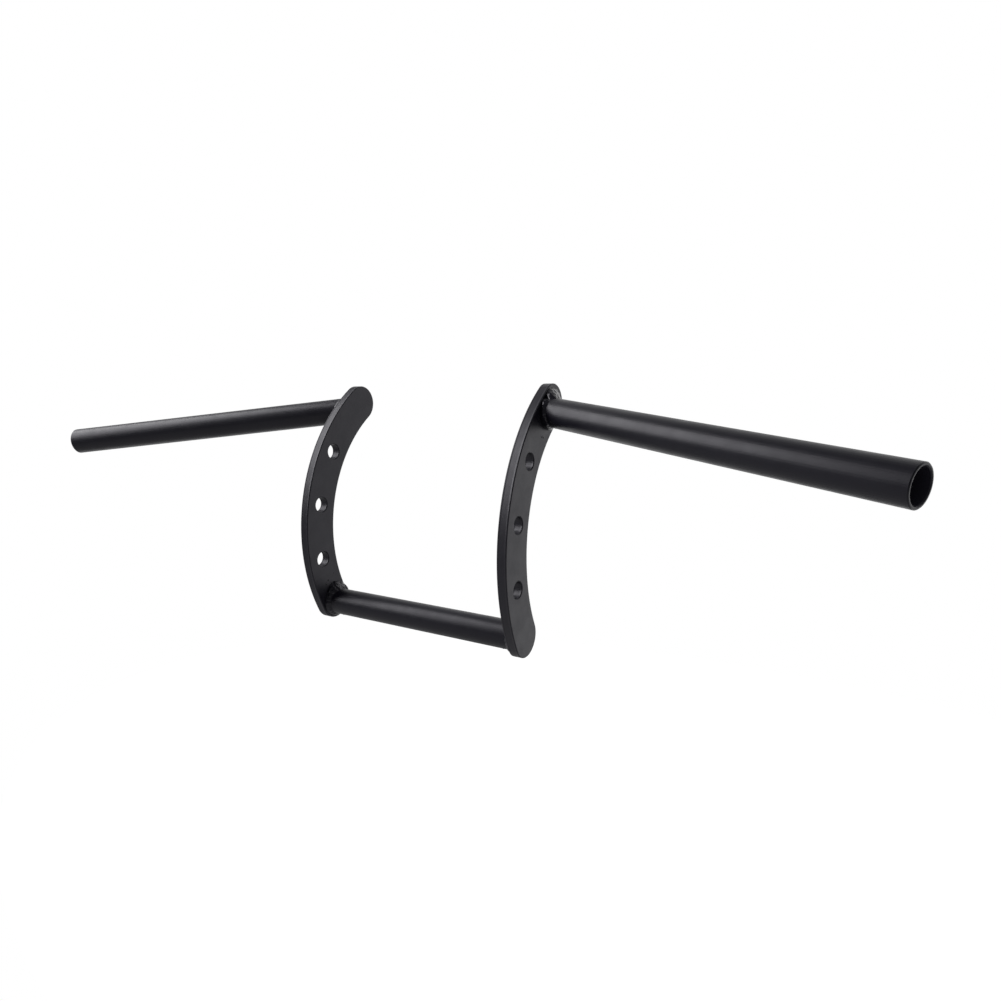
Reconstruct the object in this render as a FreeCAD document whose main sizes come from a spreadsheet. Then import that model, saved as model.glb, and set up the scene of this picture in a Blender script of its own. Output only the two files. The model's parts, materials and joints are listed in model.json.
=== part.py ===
"""Welded z-bar handlebar: clamp tube, two crescent riser plates, two swept grip tubes and their weld beads.

Millimetres and degrees. The origin is the centre of the clamp tube. +X runs along the clamp tube to the right,
+Y points forward and +Z up. The right side is modelled, and the left side mirrors it about x = 0.
"""
import FreeCAD, Part
import math
import os
import Sketcher

doc = FreeCAD.newDocument("z_bar")

# Driving dimensions: the sheet holds one plain number for each name.
DIMENSIONS = {
    "tube_diameter": 22.2,     # outside of all three tubes
    "tube_wall": 2.0,
    "tube_edge": 0.5,          # chamfer on the rims of the open tube ends
    "plate_gap": 184.0,        # between the inner faces of the riser plates
    "plate_thickness": 8.0,
    "plate_width": 30.0,       # across the crescent, and the diameter of its end rounds
    "plate_edge": 0.6,         # rounding of the plate's outline
    "arc_radius": 136.0,       # middle line of the crescent
    "arc_half_angle": 40.7,    # from the crescent's middle to the centre of an end round
    "hole_diameter": 13.0,
    "hole_edge": 0.5,          # chamfer on the rims of the holes
    "hole_pitch": 20.0,        # angle between holes, seen from the arc's centre
    "hole_shift": -3.0,        # angle of the middle hole above the crescent's middle
    "grip_setback": 4.3,       # angle from the upper end round's centre down to the grip tube
    "grip_length": 265.0,      # from the riser plate's outer face, along the grip's axis
    "grip_sweep": 23.0,        # towards the rider, seen from above
    "grip_droop": 11.8,        # below the horizontal
    "weld_foot": 2.6,          # how far a bead spreads over the plate, round the tube
    "weld_heap": 6.5,          # how far it spreads up the crescent
    "weld_climb": 5.0,         # how far a bead rises from the plate
    "weld_belly": 1.7,         # thickness halfway up, round the tube
    "weld_swell": 3.6,         # thickness halfway up, on the heaped side
    "weld_lip": 0.3,           # thickness of a bead's upper edge
}
HOLE_COUNT = 3

sheet = doc.addObject("Spreadsheet::Sheet", "Dimensions")
for row, (name, value) in enumerate(DIMENSIONS.items(), start=1):
    sheet.set(f"A{row}", name)
    sheet.set(f"B{row}", str(value))
    sheet.setAlias(f"B{row}", name)
doc.recompute()


def dim(name):
    """A driving dimension's cell, as an expression names it."""
    return f"Dimensions.{name}"


def evaluate(expression):
    """An expression's value at the sheet's present numbers."""
    return float(sheet.evalExpression(expression))


# Sizes and places that follow from the driving dimensions, as expressions.
TUBE_RADIUS = f"{dim('tube_diameter')} / 2"
BORE_RADIUS = f"{dim('tube_diameter')} / 2 - {dim('tube_wall')}"
INNER_FACE_X = f"{dim('plate_gap')} / 2"
OUTER_FACE_X = f"({dim('plate_gap')} / 2 + {dim('plate_thickness')})"
ARC_CENTRE_Y = f"{dim('arc_radius')} * cos({dim('arc_half_angle')})"
ARC_CENTRE_Z = f"{dim('arc_radius')} * sin({dim('arc_half_angle')})"
TOP_HOLE_ANGLE = f"({dim('hole_shift')} + {dim('hole_pitch')} * {HOLE_COUNT - 1} / 2)"
SEAT_ANGLE = f"({dim('arc_half_angle')} - {dim('grip_setback')})"
SEAT_Y = f"({ARC_CENTRE_Y} - {dim('arc_radius')} * cos({SEAT_ANGLE}))"
SEAT_Z = f"({ARC_CENTRE_Z} + {dim('arc_radius')} * sin({SEAT_ANGLE}))"
AXIS_X = f"(cos({dim('grip_sweep')}) * cos({dim('grip_droop')}))"
AXIS_Y = f"(-sin({dim('grip_sweep')}) * cos({dim('grip_droop')}))"
AXIS_Z = f"(-sin({dim('grip_droop')}))"


def on_grip_axis(distance):
    """The point this far along the grip's axis from its seat on the plate, as three expressions."""
    x = f"{OUTER_FACE_X} + ({distance}) * {AXIS_X}"
    y = f"{SEAT_Y} + ({distance}) * {AXIS_Y}"
    z = f"{SEAT_Z} + ({distance}) * {AXIS_Z}"
    return x, y, z


def new_body(label):
    body = doc.addObject("PartDesign::Body", label)
    body.Label = label
    return body


def attach(feature, body, role):
    plane = next(f for f in body.Origin.OriginFeatures if f.Role == role)
    feature.AttachmentSupport = [(plane, "")]
    feature.MapMode = "FlatFace"


def new_sketch(body, name, role):
    sketch = body.newObject("Sketcher::SketchObject", name)
    attach(sketch, body, role)
    return sketch


def fix(sketch, *constraint):
    sketch.addConstraint(Sketcher.Constraint(*constraint))


def measure(sketch, name, expression, *constraint):
    """Adds a dimension to a sketch and ties it to the sheet."""
    index = sketch.addConstraint(Sketcher.Constraint(*constraint, evaluate(expression)))
    sketch.renameConstraint(index, name)
    sketch.setExpression(f"Constraints.{name}", expression)


def add_circle(sketch, name, radius):
    """A circle about the sketch's origin."""
    index = sketch.addGeometry(Part.Circle(FreeCAD.Vector(), FreeCAD.Vector(0, 0, 1), evaluate(radius)))
    fix(sketch, "Coincident", index, 3, -1, 1)
    measure(sketch, name, radius, "Radius", index)


def pad(body, name, sketch, length):
    feature = body.newObject("PartDesign::Pad", name)
    feature.Profile = sketch
    feature.setExpression("Length", length)
    return feature


def edge_names(feature, wanted):
    return [f"Edge{i}" for i, edge in enumerate(feature.Shape.Edges, start=1) if wanted(edge)]


def is_circle(edge, radius):
    return isinstance(edge.Curve, Part.Circle) and math.isclose(edge.Curve.Radius, radius, abs_tol=1e-6)


# Clamp tube: runs between the inner faces of the riser plates.
def make_clamp_tube():
    body = new_body("clamp_tube")
    section = new_sketch(body, "clamp_section", "YZ_Plane")
    add_circle(section, "outside", TUBE_RADIUS)
    add_circle(section, "bore", BORE_RADIUS)
    tube = pad(body, "clamp_length", section, dim("plate_gap"))
    tube.SideType = "Symmetric"
    return body


# Riser plate: a crescent of even width whose lower end round is concentric with the clamp tube.
def draw_crescent(sketch):
    half_angle = math.radians(DIMENSIONS["arc_half_angle"])
    half_width = DIMENSIONS["plate_width"] / 2
    radius = DIMENSIONS["arc_radius"]
    arc_centre = FreeCAD.Vector(evaluate(ARC_CENTRE_Y), evaluate(ARC_CENTRE_Z), 0)
    upper_centre = FreeCAD.Vector(0, 2 * arc_centre.y, 0)
    lower_centre = FreeCAD.Vector()
    arcs = [
        (arc_centre, radius + half_width, math.pi - half_angle, math.pi + half_angle),
        (arc_centre, radius - half_width, math.pi - half_angle, math.pi + half_angle),
        (upper_centre, half_width, -half_angle, math.pi - half_angle),
        (lower_centre, half_width, half_angle - math.pi, half_angle),
    ]
    for centre, arc_radius, start, end in arcs:
        circle = Part.Circle(centre, FreeCAD.Vector(0, 0, 1), arc_radius)
        sketch.addGeometry(Part.ArcOfCircle(circle, start, end))
    convex, concave, upper, lower = range(4)
    fix(sketch, "Tangent", convex, 1, upper, 2)
    fix(sketch, "Tangent", concave, 1, upper, 1)
    fix(sketch, "Tangent", convex, 2, lower, 1)
    fix(sketch, "Tangent", concave, 2, lower, 2)
    fix(sketch, "Coincident", convex, 3, concave, 3)
    fix(sketch, "Coincident", lower, 3, -1, 1)
    fix(sketch, "PointOnObject", upper, 3, -2)
    measure(sketch, "arc_centre", ARC_CENTRE_Y, "DistanceX", -1, 1, convex, 3)
    measure(sketch, "convex", f"{dim('arc_radius')} + {dim('plate_width')} / 2", "Radius", convex)
    measure(sketch, "concave", f"{dim('arc_radius')} - {dim('plate_width')} / 2", "Radius", concave)


def cut_holes(body):
    """Through holes on the crescent's middle line, patterned down from the top one about the arc's centre."""
    sketch = new_sketch(body, "top_hole", "YZ_Plane")
    sketch.setExpression("AttachmentOffset.Base.x", ARC_CENTRE_Y)
    sketch.setExpression("AttachmentOffset.Base.y", ARC_CENTRE_Z)
    back = f"{dim('arc_radius')} * cos({TOP_HOLE_ANGLE})"
    up = f"{dim('arc_radius')} * sin({TOP_HOLE_ANGLE})"
    centre = FreeCAD.Vector(-evaluate(back), evaluate(up), 0)
    sketch.addGeometry(Part.Circle(centre, FreeCAD.Vector(0, 0, 1), DIMENSIONS["hole_diameter"] / 2))
    measure(sketch, "back", back, "DistanceX", 0, 3, -1, 1)
    measure(sketch, "up", up, "DistanceY", -1, 1, 0, 3)
    measure(sketch, "hole", dim("hole_diameter"), "Diameter", 0)
    pocket = body.newObject("PartDesign::Pocket", "hole")
    pocket.Profile = sketch
    pocket.Type = "ThroughAll"
    pocket.Reversed = True
    pattern = body.newObject("PartDesign::PolarPattern", "holes")
    pattern.Originals = [pocket]
    pattern.Axis = (sketch, ["N_Axis"])
    pattern.Mode = "Spacing"
    pattern.setExpression("Offset", dim("hole_pitch"))
    pattern.Occurrences = HOLE_COUNT
    body.Tip = pattern
    return pattern


def make_riser_plate():
    body = new_body("right_riser_plate")
    body.setExpression("Placement.Base.x", INNER_FACE_X)
    outline = new_sketch(body, "crescent", "YZ_Plane")
    draw_crescent(outline)
    blank = pad(body, "plate", outline, dim("plate_thickness"))
    holes = cut_holes(body)
    doc.recompute()
    hole_area = math.pi / 4 * DIMENSIONS["hole_diameter"] ** 2
    removed = HOLE_COUNT * hole_area * DIMENSIONS["plate_thickness"]
    if not math.isclose(blank.Shape.Volume - holes.Shape.Volume, removed, rel_tol=1e-3):
        raise RuntimeError("the riser plate's holes do not go through it")
    hole_radius = DIMENSIONS["hole_diameter"] / 2
    rims = body.newObject("PartDesign::Chamfer", "hole_rims")
    rims.Base = (holes, edge_names(holes, lambda edge: is_circle(edge, hole_radius)))
    rims.setExpression("Size", dim("hole_edge"))
    doc.recompute()
    outline_radii = [
        DIMENSIONS["arc_radius"] + DIMENSIONS["plate_width"] / 2,
        DIMENSIONS["arc_radius"] - DIMENSIONS["plate_width"] / 2,
        DIMENSIONS["plate_width"] / 2,
    ]
    edges = body.newObject("PartDesign::Fillet", "outline_edges")
    on_outline = edge_names(rims, lambda edge: any(is_circle(edge, radius) for radius in outline_radii))
    edges.Base = (rims, on_outline)
    edges.setExpression("Radius", dim("plate_edge"))
    return body


# Grip tube: drawn at its open end and extruded along its axis until it meets the riser plate's outer face.
def make_grip_tube():
    body = new_body("right_grip_tube")
    section = new_sketch(body, "grip_section", "YZ_Plane")
    x, y, z = on_grip_axis(dim("grip_length"))
    turn = f"rotation(0; -{dim('grip_sweep')}; {dim('grip_droop')})"
    section.setExpression("AttachmentOffset", f"placement(vector({y}; {z}; {x}); {turn})")
    add_circle(section, "outside", TUBE_RADIUS)
    add_circle(section, "bore", BORE_RADIUS)
    seat = body.newObject("PartDesign::Plane", "riser_face")
    attach(seat, body, "YZ_Plane")
    seat.setExpression("AttachmentOffset.Base.z", OUTER_FACE_X)
    tube = body.newObject("PartDesign::Pad", "grip_length")
    tube.Profile = section
    tube.Reversed = True
    tube.Type = "UpToFace"
    tube.UpToFace = (seat, [""])
    doc.recompute()
    rims = body.newObject("PartDesign::Chamfer", "end_rims")
    rims.Base = (tube, edge_names(tube, lambda edge: isinstance(edge.Curve, Part.Circle)))
    rims.setExpression("Size", dim("tube_edge"))
    return body


# Weld bead: a loft from its foot on the plate to its lip on the tube, less the tube itself. Each slice is the tube's
# section at that height, grown all round and heaped on the side that faces up the crescent.
def make_bead(label, at_height, stretch, slant, crescent_angle, tube_turn):
    """stretch and slant are the lengthening and direction of the tube's slices where the tube leans over the plate."""
    climb = dim("weld_climb")
    thicknesses = {
        "foot": ("0", dim("weld_foot"), dim("weld_heap")),
        "belly": (f"{climb} / 2", dim("weld_belly"), dim("weld_swell")),
        "lip": (climb, dim("weld_lip"), dim("weld_lip")),
    }
    upright = "rotation(vector(1; 1; 1); 120)"
    turn = f"rotation(vector(1; 0; 0); {slant}) * {upright}"
    loft = doc.addObject("Part::Loft", f"{label}_solid")
    slices = []
    for name, (height, around, heaped) in thicknesses.items():
        x, y, z = at_height(height)
        shift = f"({heaped} - {around}) / 2"
        y = f"{y} + {shift} * sin({crescent_angle})"
        z = f"{z} + {shift} * cos({crescent_angle})"
        ellipse = doc.addObject("Part::Ellipse", f"{label}_{name}")
        ellipse.setExpression("MajorRadius", f"{TUBE_RADIUS} * {stretch} + ({around} + {heaped}) / 2")
        ellipse.setExpression("MinorRadius", f"{TUBE_RADIUS} + {around}")
        ellipse.setExpression("Placement", f"placement(vector({x}; {y}; {z}); {turn})")
        slices.append(ellipse)
    loft.Sections = slices
    loft.Solid = True
    core = doc.addObject("Part::Cylinder", f"{label}_tube")
    core.setExpression("Radius", TUBE_RADIUS)
    core.setExpression("Height", f"3 * {dim('tube_diameter')} + {climb}")
    x, y, z = at_height(f"-{dim('tube_diameter')}")
    core.setExpression("Placement", f"placement(vector({x}; {y}; {z}); {tube_turn})")
    bead = doc.addObject("Part::Cut", label)
    bead.Label = label
    bead.Base = loft
    bead.Tool = core
    return bead


def make_grip_weld():
    return make_bead(
        "right_grip_weld",
        at_height=lambda height: on_grip_axis(f"{height} / {AXIS_X}"),
        stretch=f"1 / {AXIS_X}",
        slant=f"atan2({AXIS_Z}; {AXIS_Y})",
        crescent_angle=SEAT_ANGLE,
        tube_turn=f"rotation(-{dim('grip_sweep')}; 90 + {dim('grip_droop')}; 0)",
    )


def make_clamp_weld():
    return make_bead(
        "right_clamp_weld",
        at_height=lambda height: (f"{INNER_FACE_X} - {height}", "0", "0"),
        stretch="1",
        slant=f"90 + {dim('arc_half_angle')}",
        crescent_angle=f"-{dim('arc_half_angle')}",
        tube_turn="rotation(0; -90; 0)",
    )


def mirror_to_left(source):
    label = source.Label.replace("right_", "left_")
    mirrored = doc.addObject("Part::Mirroring", label)
    mirrored.Label = label
    mirrored.Source = source
    mirrored.Normal = FreeCAD.Vector(1, 0, 0)
    return mirrored


right_side = [make_riser_plate(), make_grip_tube(), make_clamp_weld(), make_grip_weld()]
sub_parts = [make_clamp_tube()] + right_side + [mirror_to_left(part) for part in right_side]
doc.recompute()

# Every object has to be sound before any file is written.
for item in doc.Objects:
    if "Invalid" in item.State or "Error" in item.State:
        raise RuntimeError(f"{item.Label} failed to build")
for part in sub_parts:
    if part.Shape.isNull() or not part.Shape.isValid():
        raise RuntimeError(f"{part.Label} has no valid shape")

os.makedirs("parts", exist_ok=True)
for part in sub_parts:
    part.Shape.exportStep(f"parts/{part.Label}.step")
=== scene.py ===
"""Looks of the welded z-bar handlebar: satin black powder coat on tubes, plates and lumpy weld beads.

Metres and radians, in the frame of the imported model. New pieces take their places from its nodes and mounts.
"""
import json
import math
import random

import bmesh
import bpy
from mathutils import Matrix, Vector


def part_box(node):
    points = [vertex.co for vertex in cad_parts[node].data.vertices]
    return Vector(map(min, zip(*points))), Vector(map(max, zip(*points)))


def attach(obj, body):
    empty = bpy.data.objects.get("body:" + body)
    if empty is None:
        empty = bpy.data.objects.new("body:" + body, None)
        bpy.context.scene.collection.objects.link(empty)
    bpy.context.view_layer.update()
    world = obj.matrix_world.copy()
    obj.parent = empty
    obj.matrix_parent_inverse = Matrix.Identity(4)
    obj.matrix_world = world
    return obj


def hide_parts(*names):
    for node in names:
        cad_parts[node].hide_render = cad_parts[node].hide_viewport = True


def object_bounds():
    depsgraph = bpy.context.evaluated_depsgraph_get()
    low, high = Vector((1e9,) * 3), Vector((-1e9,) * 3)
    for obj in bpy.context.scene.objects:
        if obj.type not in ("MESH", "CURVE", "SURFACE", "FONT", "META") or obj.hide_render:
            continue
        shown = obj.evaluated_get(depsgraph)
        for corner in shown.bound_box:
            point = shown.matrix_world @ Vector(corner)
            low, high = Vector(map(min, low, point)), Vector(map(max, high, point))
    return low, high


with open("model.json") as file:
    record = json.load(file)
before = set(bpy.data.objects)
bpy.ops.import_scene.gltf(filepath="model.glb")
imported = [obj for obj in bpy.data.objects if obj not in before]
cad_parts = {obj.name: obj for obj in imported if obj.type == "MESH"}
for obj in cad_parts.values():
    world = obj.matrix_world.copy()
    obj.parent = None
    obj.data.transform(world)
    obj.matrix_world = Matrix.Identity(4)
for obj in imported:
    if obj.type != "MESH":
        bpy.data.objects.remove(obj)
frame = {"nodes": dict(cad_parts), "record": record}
cad_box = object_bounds()
nodes = frame["nodes"]
mounts = {mount["name"]: mount for mount in frame["record"]["mounts"]}
MM = 0.001
BLACK = (0, 0, 0, 1)
WHITE = (1, 1, 1, 1)

# The photograph's camera: its focal length, its place and the way it looks.
IMAGE_PIXELS = 1001
FOCAL_PIXELS = 679.4
SENSOR_WIDTH = 36.0
CAMERA_PLACE = Vector((331.42, -455.35, 70.00)) * MM
CAMERA_RIGHT = Vector((0.85931, 0.49749, 0.11870))
CAMERA_FORWARD = Vector((-0.50614, 0.86053, 0.05751))
CAMERA_NEAR = 10 * MM

# Powder coat by kind of piece: its two blacks, roughness, depths of orange peel and flow, and mirroring.
COATS = {
    "tube": {"dark": (0.0060, 0.0056, 0.0108), "light": (0.0092, 0.0087, 0.0148), "rough": (0.36, 0.44),
             "peel": 0.022 * MM, "flow": 0.05 * MM, "specular": 0.37},
    "plate": {"dark": (0.0064, 0.0060, 0.0112), "light": (0.0100, 0.0095, 0.0158), "rough": (0.38, 0.47),
              "peel": 0.026 * MM, "flow": 0.04 * MM, "specular": 0.45},
    "weld": {"dark": (0.0060, 0.0056, 0.0108), "light": (0.0092, 0.0087, 0.0148), "rough": (0.14, 0.26),
             "peel": 0.03 * MM, "flow": 0.06 * MM, "specular": 0.37},
}
COAT_CAST = (0.955, 0.935, 1.0, 1)

# Noise textures, each with its scale per metre and its detail, and the range that noise mostly stays in.
CLOUDS = (38.0, 4.0)
FLOW = (95.0, 3.0)
PEEL = (780.0, 2.0)
GRAIN = (2600.0, 2.0)
CUT_LINES = (900.0, 2.0)
NOISE_ROUGHNESS = 0.55
NOISE_REACH = (0.3, 0.7)
COAT_BUMP = 0.5
GRAIN_DEPTH = 0.25

# The plates' cut edges: how far the cut is off square, its lines, and the fat edge of coat by each face.
CUT_SLANT = math.tan(math.radians(5))
CUT_LINE_HEIGHT = 0.03 * MM
CUT_LINE_STRETCH = (0.08, 1, 1)
FAT_EDGE_PLACE = (0.1 * MM, 0.8 * MM, 1.8 * MM)
FAT_EDGE_HEIGHT = 0.14 * MM
EDGE_TURN = (0.2, 0.6)

# The grip tubes' rounded end faces, and their bores, in a lighter grey than the coat.
BORE_RADIUS = 9.1 * MM
BORE_RIM = (0.1 * MM, 0.3 * MM)
BORE_COLOUR = (0.040, 0.038, 0.053, 1)
END_ROUNDING = 0.30 * MM

# Weld beads: how far each spreads over the plate and rises from it, evenly round the tube and at its heap.
BEAD_FOOT = 2.6 * MM
BEAD_CLIMB = 5.4 * MM
BEAD_MARGIN = 0.3 * MM
BEAD_BULGE = 0.52
BEAD_SINK = 0.25 * MM
HEAP_FOOT = {"grip": 8.6 * MM, "clamp": 6.2 * MM}
HEAP_CLIMB = {"grip": 8.2 * MM, "clamp": 7.2 * MM}
HEAP_LEAN = {"right_grip": math.radians(32), "left_grip": math.radians(25),
             "left_clamp": math.radians(-40), "right_clamp": math.radians(30)}
HEAP_REACH = (math.radians(14), math.radians(62))
HEAP_FLAT = math.radians(26)
EDGE_WAVER = 0.16
FOOT_WAVES = (3, 5, 8, 13, 21)
CLIMB_WAVES = (2, 5, 9, 14, 23)
WAVE_SIZE = (0.4, 1.0)
FOOT_STEP = BEAD_MARGIN / 4
FOOT_SMOOTHING = 14
BEAD_STEPS_ROUND = 360
BEAD_STEPS_ACROSS = 26
FIRST_SEED = 7

# Lumps of the beads, a ring of them round the tube and a crowd on the heap: number, place, radius and height.
RING_LUMPS = 26
RING_LUMP_SHIFT = (-0.3, 0.3)
RING_LUMP_PLACE = (0.35, 0.65)
RING_LUMP_SIZE = (1.5 * MM, 2.4 * MM)
RING_LUMP_HEIGHT = (0.15 * MM, 0.45 * MM)
HEAP_LUMPS = {"grip": 26, "clamp": 46}
HEAP_LUMP_SPREAD = math.radians(28)
HEAP_LUMP_PLACE = (0.15, 0.85)
HEAP_LUMP_SIZE = {"grip": (0.8 * MM, 2.4 * MM), "clamp": (0.8 * MM, 1.6 * MM)}
HEAP_LUMP_HEIGHT = {"grip": (0.15 * MM, 0.5 * MM), "clamp": (0.3 * MM, 0.9 * MM)}
LUMP_ROUNDNESS = 0.7
LUMP_FADE = 0.6

# Weld spatter: drops on the tube and on the plate, how far they lie from the bead, and their size.
TUBE_SPATTER = 6
PLATE_SPATTER = 3
PLATE_SPATTER_ARC = 0.5
SPATTER_REACH = (1.0 * MM, 7.0 * MM)
SPATTER_SIZE = (0.35 * MM, 0.75 * MM)
SPATTER_SQUAT = 0.6
SPATTER_SUBDIVISIONS = 2

# The studio: a pale floor, a white surround behind the part, a dim room in front, a softbox and a grey card
# that paints the shadow under the part into reflections.
FLOOR_DROP = 0.36
FLOOR_RADIUS = 1.5
FLOOR_SHIFT = 1.38
FLOOR_COLOUR = (0.36, 0.36, 0.36, 1)
FLOOR_GLOW = 0.87
WORLD_FILL = 0.55
ROOM_RADIUS = 4.0
ROOM_SEGMENTS = (64, 32)
ROOM_OPENING = 0.7
ROOM_DIM_FROM = -0.1
ROOM_GLOW = (0.16, 0.95)
SOFTBOX_PLACE = Vector((-0.645, -0.42, 0.48))
SOFTBOX_AIM = Vector((0.62, 0.41, -0.39))
SOFTBOX_WIDTH = 0.64
SOFTBOX_HEIGHT = 0.80
SOFTBOX_WATTS = 7.9
CARD_RADIUS = 0.55
CARD_PLACE = (0.0, -0.10)
CARD_DROP = 0.14
CARD_GLOW = 0.45
DISC_SEGMENTS = 96

# Sizes read from the frame: the tubes' radius, the plates' half width and the middle line of their crescent.
TUBE_RADIUS = mounts["clamp_zone"]["dims"]["r_mm"] * MM
plate_low, plate_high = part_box("right_riser_plate")
HALF_WIDTH = -plate_low.z
CHORD = plate_high.z - HALF_WIDTH
SAGITTA = -plate_low.y - HALF_WIDTH
ARC_RADIUS = (CHORD ** 2 / 4 + SAGITTA ** 2) / (2 * SAGITTA)
ARC_CENTRE = Vector((0, ARC_RADIUS - SAGITTA, CHORD / 2))


def off_middle(place):
    """How far a point lies from the middle line of the riser plates."""
    lift = min(max(place.z, 0), CHORD)
    if lift != place.z:
        return math.hypot(place.y, place.z - lift)
    return abs(math.hypot(place.y - ARC_CENTRE.y, place.z - ARC_CENTRE.z) - ARC_RADIUS)


def up_the_crescent(place):
    """The direction of the riser plate's middle line, going up, at a point on it."""
    away = Vector((0, place.y - ARC_CENTRE.y, place.z - ARC_CENTRE.z)).normalized()
    return Vector((0, away.z, -away.y))


def wrapped(angle):
    """The same direction as an angle between -pi and pi."""
    return (angle + math.pi) % math.tau - math.pi


class Joint:
    """A tube's butt joint on a riser plate: the seat's centre, the plate's normal and the tube's axis."""

    def __init__(self, name, seat, normal, axis):
        self.name = name
        self.kind = name.split("_")[1]
        self.seat = seat
        self.normal = normal
        self.axis = axis
        self.lean = axis.dot(normal)
        up = up_the_crescent(seat)
        self.first = (up - up.dot(axis) * axis).normalized()
        self.second = axis.cross(self.first)
        self.plate_side = 0 if seat.z < CHORD / 2 else math.pi

    def spoke(self, angle):
        """The direction from the tube's axis to its surface."""
        return self.first * math.cos(angle) + self.second * math.sin(angle)

    def corner(self, angle):
        """The point where this line of the tube's surface meets the plate."""
        side = self.spoke(angle) * TUBE_RADIUS
        return self.seat + side - self.axis * (side.dot(self.normal) / self.lean)

    def over_plate(self, angle):
        """The direction away from the tube along the plate's face."""
        spoke = self.spoke(angle)
        return (spoke - spoke.dot(self.normal) * self.normal).normalized()


def find_joints():
    """The four joints: a grip tube on each plate's outer face and the clamp tube on each inner face."""
    joints = []
    for side, sign in (("left", -1), ("right", 1)):
        low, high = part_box(f"{side}_riser_plate")
        outer, inner = (low.x, high.x) if sign < 0 else (high.x, low.x)
        mount = mounts[f"{side}_grip_seat"]
        axis = Vector(mount["axis"]).normalized()
        place = Vector(mount["pos_m"])
        seat = place + axis * ((outer - place.x) / axis.x)
        outward = Vector((sign, 0, 0))
        joints.append(Joint(f"{side}_grip", seat, outward, axis))
        joints.append(Joint(f"{side}_clamp", Vector((inner, 0, 0)), -outward, -outward))
    return joints


# Shader nodes.
def new_material(name):
    material = bpy.data.materials.new(name)
    material.use_nodes = True
    tree = material.node_tree
    return material, tree, tree.nodes["Principled BSDF"]


def fill(tree, socket, value):
    """Links another node's output to a socket, or sets a constant on it."""
    if isinstance(value, bpy.types.NodeSocket):
        tree.links.new(value, socket)
    else:
        socket.default_value = value


def place_on_part(tree):
    return tree.nodes.new("ShaderNodeTexCoord").outputs["Object"]


def split(tree, vector):
    """The X, Y and Z of a vector."""
    node = tree.nodes.new("ShaderNodeSeparateXYZ")
    tree.links.new(vector, node.inputs["Vector"])
    return node.outputs["X"], node.outputs["Y"], node.outputs["Z"]


def noise(tree, place, texture):
    scale, detail = texture
    node = tree.nodes.new("ShaderNodeTexNoise")
    node.inputs["Scale"].default_value = scale
    node.inputs["Detail"].default_value = detail
    node.inputs["Roughness"].default_value = NOISE_ROUGHNESS
    tree.links.new(place, node.inputs["Vector"])
    return node.outputs["Fac"]


def spread(tree, value, low, high, from_low=NOISE_REACH[0], from_high=NOISE_REACH[1]):
    """Maps a value, such as noise, to a range and stays within it."""
    node = tree.nodes.new("ShaderNodeMapRange")
    node.inputs["From Min"].default_value = from_low
    node.inputs["From Max"].default_value = from_high
    node.inputs["To Min"].default_value = low
    node.inputs["To Max"].default_value = high
    tree.links.new(value, node.inputs["Value"])
    return node.outputs["Result"]


def calculate(tree, operation, first, second=None):
    node = tree.nodes.new("ShaderNodeMath")
    node.operation = operation
    fill(tree, node.inputs[0], first)
    if second is not None:
        fill(tree, node.inputs[1], second)
    return node.outputs[0]


def mix_colours(tree, share, first, second):
    node = tree.nodes.new("ShaderNodeMix")
    node.data_type = "RGBA"
    tree.links.new(share, node.inputs["Factor"])
    fill(tree, node.inputs["A"], first)
    fill(tree, node.inputs["B"], second)
    return node.outputs["Result"]


def bump(tree, height, distance, strength, below=None):
    node = tree.nodes.new("ShaderNodeBump")
    node.inputs["Distance"].default_value = distance
    node.inputs["Strength"].default_value = strength
    tree.links.new(height, node.inputs["Height"])
    if below is not None:
        tree.links.new(below, node.inputs["Normal"])
    return node.outputs["Normal"]


# Powder coats.
def powder_coat(name, dark, light, rough, peel, flow, specular):
    """Satin powder coat: cloudy black, uneven gloss, fine orange peel and the slow flow of the melt."""
    material, tree, shader = new_material(name)
    place = place_on_part(tree)
    clouds = spread(tree, noise(tree, place, CLOUDS), 0, 1)
    drift = noise(tree, place, FLOW)
    tree.links.new(mix_colours(tree, clouds, (*dark, 1), (*light, 1)), shader.inputs["Base Color"])
    tree.links.new(spread(tree, drift, *rough), shader.inputs["Roughness"])
    normal = bump(tree, drift, flow, COAT_BUMP)
    normal = bump(tree, noise(tree, place, PEEL), peel, COAT_BUMP, below=normal)
    normal = bump(tree, noise(tree, place, GRAIN), peel * GRAIN_DEPTH, COAT_BUMP, below=normal)
    tree.links.new(normal, shader.inputs["Normal"])
    shader.inputs["Specular IOR Level"].default_value = specular
    shader.inputs["Specular Tint"].default_value = COAT_CAST
    return material


def raise_coat(material, height, distance):
    """Adds a height to the coat's own bumps."""
    tree = material.node_tree
    normal = tree.nodes["Principled BSDF"].inputs["Normal"]
    tree.links.new(bump(tree, height, distance, 1.0, below=normal.links[0].from_socket), normal)


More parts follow.
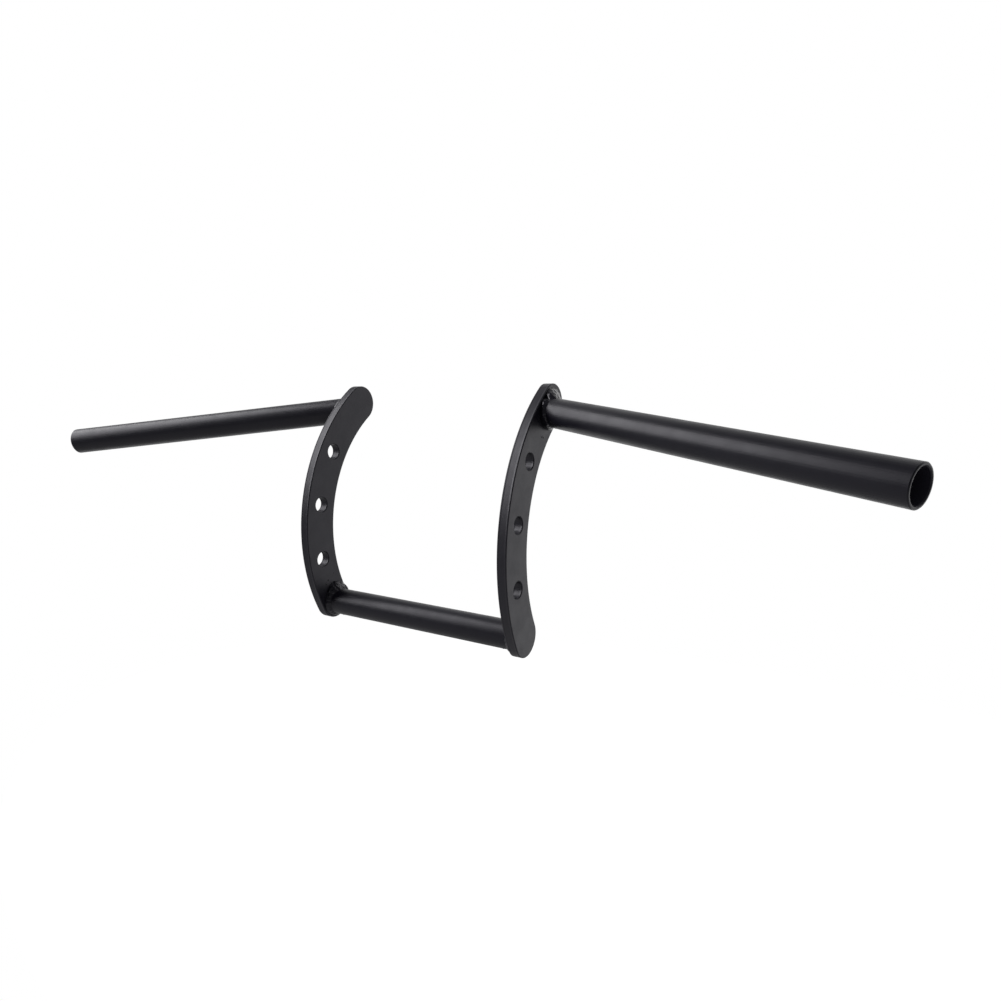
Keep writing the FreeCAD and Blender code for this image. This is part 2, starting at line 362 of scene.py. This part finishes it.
def add_cut_edges(material):
    """The slant and faint lines of the torch's cut on the plates' edges, and the fat edge of the coat."""
    tree = material.node_tree
    facing = tree.nodes.new("ShaderNodeNewGeometry").outputs["True Normal"]
    on_edge = spread(tree, calculate(tree, "ABSOLUTE", split(tree, facing)[0]), 1, 0, *EDGE_TURN)
    stretch = tree.nodes.new("ShaderNodeMapping")
    stretch.inputs["Scale"].default_value = CUT_LINE_STRETCH
    tree.links.new(place_on_part(tree), stretch.inputs["Vector"])
    lines = noise(tree, stretch.outputs["Vector"], CUT_LINES)
    raise_coat(material, calculate(tree, "MULTIPLY", lines, on_edge), CUT_LINE_HEIGHT)

    middle = (plate_low.x + plate_high.x) / 2
    half = (plate_high.x - plate_low.x) / 2
    to_the_side = calculate(tree, "ABSOLUTE", split(tree, place_on_part(tree))[0])
    outwards = calculate(tree, "SUBTRACT", to_the_side, middle)
    slant = spread(tree, outwards, -1, 1, -half, half)
    raise_coat(material, calculate(tree, "MULTIPLY", slant, on_edge), CUT_SLANT * half)

    from_middle = calculate(tree, "ABSOLUTE", outwards)
    outer, top, inner = (half - place for place in FAT_EDGE_PLACE)
    rise = spread(tree, from_middle, 0, 1, inner, top)
    ridge = calculate(tree, "MULTIPLY", rise, spread(tree, from_middle, 1, 0, top, outer))
    raise_coat(material, calculate(tree, "MULTIPLY", ridge, on_edge), FAT_EDGE_HEIGHT)


def off_grip_axis(tree):
    """The distance from the nearer grip tube's axis, worked out on the right one."""
    mount = mounts["right_grip_seat"]
    x, y, z = split(tree, place_on_part(tree))
    mirrored = tree.nodes.new("ShaderNodeCombineXYZ")
    for socket, value in zip(mirrored.inputs, (calculate(tree, "ABSOLUTE", x), y, z)):
        tree.links.new(value, socket)
    link = mirrored.outputs["Vector"]
    for operation, other in (("SUBTRACT", mount["pos_m"]), ("CROSS_PRODUCT", mount["axis"])):
        node = tree.nodes.new("ShaderNodeVectorMath")
        node.operation = operation
        tree.links.new(link, node.inputs[0])
        node.inputs[1].default_value = other
        link = node.outputs["Vector"]
    length = tree.nodes.new("ShaderNodeVectorMath")
    length.operation = "LENGTH"
    tree.links.new(link, length.inputs[0])
    return length.outputs["Value"]


def add_bores(material):
    """Rounds the grip tubes' end faces and colours their bores a lighter grey, told apart by the distance from
    the axis.
    """
    tree = material.node_tree
    distance = off_grip_axis(tree)
    in_bore = spread(tree, distance, 1, 0, *(BORE_RADIUS + rim for rim in BORE_RIM))
    colour = tree.nodes["Principled BSDF"].inputs["Base Color"]
    tree.links.new(mix_colours(tree, in_bore, colour.links[0].from_socket, BORE_COLOUR), colour)
    across = spread(tree, distance, -1, 1, BORE_RADIUS, TUBE_RADIUS)
    crown = calculate(tree, "SUBTRACT", 1, calculate(tree, "MULTIPLY", across, across))
    raise_coat(material, crown, END_ROUNDING)


def coat_nodes():
    """Gives each node the coat of its kind, which is the last word of its name, and returns the coats."""
    coats = {kind: powder_coat(f"{kind}_powder_coat", **coat) for kind, coat in COATS.items()}
    add_cut_edges(coats["plate"])
    add_bores(coats["tube"])
    for name, node in nodes.items():
        node.data.materials.clear()
        node.data.materials.append(coats[name.split("_")[-1]])
    return coats


# Weld beads: a lumpy fillet in the corner between each tube and its plate, heaped on one side.
def waver(rng, waves):
    """A smooth closed curve of random waves, between about -1 and 1."""
    terms = [(count, rng.uniform(0, math.tau), rng.uniform(*WAVE_SIZE) / math.sqrt(count)) for count in waves]
    total = sum(size for _, _, size in terms)
    return lambda angle: sum(size * math.sin(count * angle + phase) for count, phase, size in terms) / total


def make_lumps(rng, joint):
    """Lumps of the bead as (angle, share of the way up its face, radius, height): a ring and a heap."""
    lumps = []
    for index in range(RING_LUMPS):
        angle = math.tau * (index + rng.uniform(*RING_LUMP_SHIFT)) / RING_LUMPS
        place = rng.uniform(*RING_LUMP_PLACE)
        lumps.append((angle, place, rng.uniform(*RING_LUMP_SIZE), rng.uniform(*RING_LUMP_HEIGHT)))
    for _ in range(HEAP_LUMPS[joint.kind]):
        angle = rng.gauss(HEAP_LEAN[joint.name], HEAP_LUMP_SPREAD)
        place = rng.uniform(*HEAP_LUMP_PLACE)
        radius = rng.uniform(*HEAP_LUMP_SIZE[joint.kind])
        lumps.append((angle, place, radius, rng.uniform(*HEAP_LUMP_HEIGHT[joint.kind])))
    return lumps


def lump_height(lumps, angle, across, girth, face):
    """The tallest lump at a point of the bead, this share of the way across a face this wide."""
    tallest = 0.0
    for centre, share, radius, height in lumps:
        far = ((wrapped(angle - centre) * girth) ** 2 + ((across - share) * face) ** 2) / radius ** 2
        if far < 1:
            tallest = max(tallest, height * (1 - far) ** LUMP_ROUNDNESS)
    return tallest


def bead_size(joint, angle):
    """The bead's foot over the plate and its climb along the tube: even, with a flat ramp at the heap."""
    full, none = HEAP_REACH
    turn = abs(wrapped(angle - HEAP_LEAN[joint.name]))
    near = min(max((none - turn) / (none - full), 0), 1)
    share = near * near * (3 - 2 * near)
    fall = math.cos(min(turn, HEAP_FLAT))
    heap_foot = HEAP_FOOT[joint.kind]
    ramp_foot = (TUBE_RADIUS + heap_foot) / fall - TUBE_RADIUS
    ramp_climb = HEAP_CLIMB[joint.kind] * (1 + TUBE_RADIUS * (1 - fall) / heap_foot)
    return BEAD_FOOT + (ramp_foot - BEAD_FOOT) * share, BEAD_CLIMB + (ramp_climb - BEAD_CLIMB) * share


def kept_on_plate(joint, angle, foot):
    """The foot, drawn in where it would pass the plate's edge."""
    while foot > BEAD_MARGIN:
        if off_middle(joint.corner(angle) + joint.over_plate(angle) * foot) < HALF_WIDTH - BEAD_MARGIN:
            break
        foot -= FOOT_STEP
    return foot


def smoothed_feet(joint, foot_waver):
    """The bead's foot at each step round the tube, on the plate and without sharp corners."""
    angles = [math.tau * step / BEAD_STEPS_ROUND for step in range(BEAD_STEPS_ROUND)]
    feet = [kept_on_plate(joint, angle, bead_size(joint, angle)[0]) for angle in angles]
    window = range(-FOOT_SMOOTHING, FOOT_SMOOTHING + 1)
    means = [sum(feet[(step + shift) % BEAD_STEPS_ROUND] for shift in window) / len(window)
             for step in range(BEAD_STEPS_ROUND)]
    return [kept_on_plate(joint, angle, mean * (1 + EDGE_WAVER * foot_waver(angle)))
            for angle, mean in zip(angles, means)]


def add_ring(shape, joint, rng):
    """The bead itself: a bulging, lumpy face from its toe on the plate to its lip on the tube, and closed."""
    foot_waver = waver(rng, FOOT_WAVES)
    climb_waver = waver(rng, CLIMB_WAVES)
    lumps = make_lumps(rng, joint)
    loops = []
    for step, foot in enumerate(smoothed_feet(joint, foot_waver)):
        angle = math.tau * step / BEAD_STEPS_ROUND
        corner = joint.corner(angle)
        climb = bead_size(joint, angle)[1] * (1 + EDGE_WAVER * climb_waver(angle)) / joint.lean
        toe = joint.over_plate(angle) * foot
        lip = joint.axis * climb
        outward = (toe / toe.length_squared + lip / lip.length_squared).normalized()
        face = (toe - lip).length
        loop = []
        for index in range(BEAD_STEPS_ACROSS + 1):
            across = index / BEAD_STEPS_ACROSS
            pull = 2 * across * (1 - across) * BEAD_BULGE
            fade = math.sin(math.pi * across) ** LUMP_FADE
            raised = lump_height(lumps, angle, across, TUBE_RADIUS + foot / 2, face) * fade
            sunk = BEAD_SINK * (1 - fade)
            place = corner + toe * ((1 - across) ** 2 + pull) + lip * (across ** 2 + pull)
            loop.append(shape.verts.new(place + outward * (raised - sunk)))
        loop.append(shape.verts.new(corner - outward * 2 * BEAD_SINK))
        loops.append(loop)
    for here, there in zip(loops, loops[1:] + loops[:1]):
        for index in range(len(here)):
            shape.faces.new((here[index - 1], here[index], there[index], there[index - 1]))


def add_drop(shape, place, outward, size):
    turn = outward.to_track_quat("Z", "Y").to_matrix().to_4x4()
    squat = Matrix.Diagonal((size, size, size * SPATTER_SQUAT, 1))
    bmesh.ops.create_icosphere(shape, subdivisions=SPATTER_SUBDIVISIONS, radius=1,
                               matrix=Matrix.Translation(place) @ turn @ squat)


def add_spatter(shape, joint, rng):
    """Small frozen drops beside the bead, on the tube and on the plate."""
    for _ in range(TUBE_SPATTER):
        angle = rng.uniform(0, math.tau)
        along = BEAD_CLIMB / joint.lean + rng.uniform(*SPATTER_REACH)
        place = joint.corner(angle) + joint.axis * along
        add_drop(shape, place, joint.spoke(angle), rng.uniform(*SPATTER_SIZE))
    for _ in range(PLATE_SPATTER):
        angle = joint.plate_side + rng.uniform(-PLATE_SPATTER_ARC, PLATE_SPATTER_ARC)
        along = kept_on_plate(joint, angle, bead_size(joint, angle)[0] + rng.uniform(*SPATTER_REACH))
        place = joint.corner(angle) + joint.over_plate(angle) * along
        add_drop(shape, place, joint.normal, rng.uniform(*SPATTER_SIZE))


def place_mesh(name, shape, material):
    """An object made of a finished shape, which this uses up."""
    mesh = bpy.data.meshes.new(name)
    shape.to_mesh(mesh)
    shape.free()
    mesh.materials.append(material)
    piece = bpy.data.objects.new(name, mesh)
    bpy.context.scene.collection.objects.link(piece)
    return piece


def make_bead(joint, material, seed):
    rng = random.Random(seed)
    shape = bmesh.new()
    add_ring(shape, joint, rng)
    add_spatter(shape, joint, rng)
    bmesh.ops.recalc_face_normals(shape, faces=shape.faces[:])
    bead = place_mesh(f"{joint.name}_bead", shape, material)
    bead.data.shade_smooth()
    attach(bead, "root")
    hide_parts(f"{joint.name}_weld")


# Camera, floor and light.
def set_camera():
    data = bpy.data.cameras.new("photo_camera")
    data.sensor_width = SENSOR_WIDTH
    data.lens = FOCAL_PIXELS / IMAGE_PIXELS * SENSOR_WIDTH
    data.clip_start = CAMERA_NEAR
    camera = bpy.data.objects.new("photo_camera", data)
    forward = CAMERA_FORWARD.normalized()
    right = (CAMERA_RIGHT - CAMERA_RIGHT.dot(forward) * forward).normalized()
    turn = Matrix((right, right.cross(forward), -forward)).transposed()
    camera.matrix_world = Matrix.Translation(CAMERA_PLACE) @ turn.to_4x4()
    bpy.context.scene.collection.objects.link(camera)
    bpy.context.scene.camera = camera


def seen_directly(tree):
    """1 for rays from the camera, off a glossy surface or through a clear one, and 0 for diffuse light."""
    path = tree.nodes.new("ShaderNodeLightPath")
    total = path.outputs["Is Camera Ray"]
    for name in ("Is Glossy Ray", "Is Transmission Ray"):
        total = calculate(tree, "MAXIMUM", total, path.outputs[name])
    return total


def set_world():
    """White for what is seen directly, and dimmer as a source of diffuse light."""
    world = bpy.data.worlds.new("white_studio")
    bpy.context.scene.world = world
    world.use_nodes = True
    tree = world.node_tree
    surround = tree.nodes["Background"]
    surround.inputs["Color"].default_value = WHITE
    tree.links.new(spread(tree, seen_directly(tree), WORLD_FILL, 1, 0, 1), surround.inputs["Strength"])


def glowing(name, colour):
    """A dull material that also glows white, its tree and the socket for how strongly it glows."""
    material, tree, shader = new_material(name)
    shader.inputs["Base Color"].default_value = colour
    shader.inputs["Specular IOR Level"].default_value = 0
    shader.inputs["Emission Color"].default_value = WHITE
    return material, tree, shader.inputs["Emission Strength"]


def set_room():
    """A dim dome round the part, open behind it, that only reflections and soft light meet."""
    across, up = ROOM_SEGMENTS
    opening = ROOM_OPENING * ROOM_RADIUS
    shape = bmesh.new()
    bmesh.ops.create_uvsphere(shape, u_segments=across, v_segments=up, radius=ROOM_RADIUS)
    open_faces = [face for face in shape.faces if face.calc_center_median().y > opening]
    bmesh.ops.delete(shape, geom=open_faces, context="FACES")
    material, tree, strength = glowing("dim_room", BLACK)
    depth = split(tree, place_on_part(tree))[1]
    tree.links.new(spread(tree, depth, *ROOM_GLOW, ROOM_DIM_FROM * ROOM_RADIUS, opening), strength)
    room = place_mesh("dim_room", shape, material)
    room.visible_camera = False


def set_disc(name, radius, place, material):
    shape = bmesh.new()
    bmesh.ops.create_circle(shape, cap_ends=True, segments=DISC_SEGMENTS, radius=radius)
    disc = place_mesh(name, shape, material)
    disc.location = place
    return disc


def set_card():
    """A grey card under the part, which only reflections meet: painted shade that stands in for the floor's
    shadow under the part.
    """
    material, _, strength = glowing("painted_shadow_card", BLACK)
    # The card's dim glow is painted shade: how dark the floor's shadow under the part looks in reflections.
    strength.default_value = CARD_GLOW
    card = set_disc("painted_shadow_card", CARD_RADIUS, (*CARD_PLACE, cad_box[0].z - CARD_DROP), material)
    card.visible_camera = False
    card.visible_diffuse = False
    card.visible_shadow = False


def set_floor():
    """A pale floor below and behind the part, which glows only where it is seen directly."""
    material, tree, strength = glowing("pale_floor", FLOOR_COLOUR)
    tree.links.new(spread(tree, seen_directly(tree), 0, FLOOR_GLOW, 0, 1), strength)
    set_disc("floor", FLOOR_RADIUS, (0, FLOOR_SHIFT, cad_box[0].z - FLOOR_DROP), material)


def set_softbox():
    data = bpy.data.lights.new("softbox", "AREA")
    data.shape = "RECTANGLE"
    data.size = SOFTBOX_WIDTH
    data.size_y = SOFTBOX_HEIGHT
    data.energy = SOFTBOX_WATTS
    lamp = bpy.data.objects.new("softbox", data)
    lamp.location = SOFTBOX_PLACE
    lamp.rotation_euler = SOFTBOX_AIM.to_track_quat("-Z", "Y").to_euler()
    lamp.visible_camera = False
    bpy.context.scene.collection.objects.link(lamp)


coats = coat_nodes()
for number, joint in enumerate(find_joints()):
    make_bead(joint, coats["weld"], seed=FIRST_SEED + number)
set_camera()
set_world()
set_room()
set_card()
set_floor()
set_softbox()
bpy.context.scene.view_settings.view_transform = "Standard"
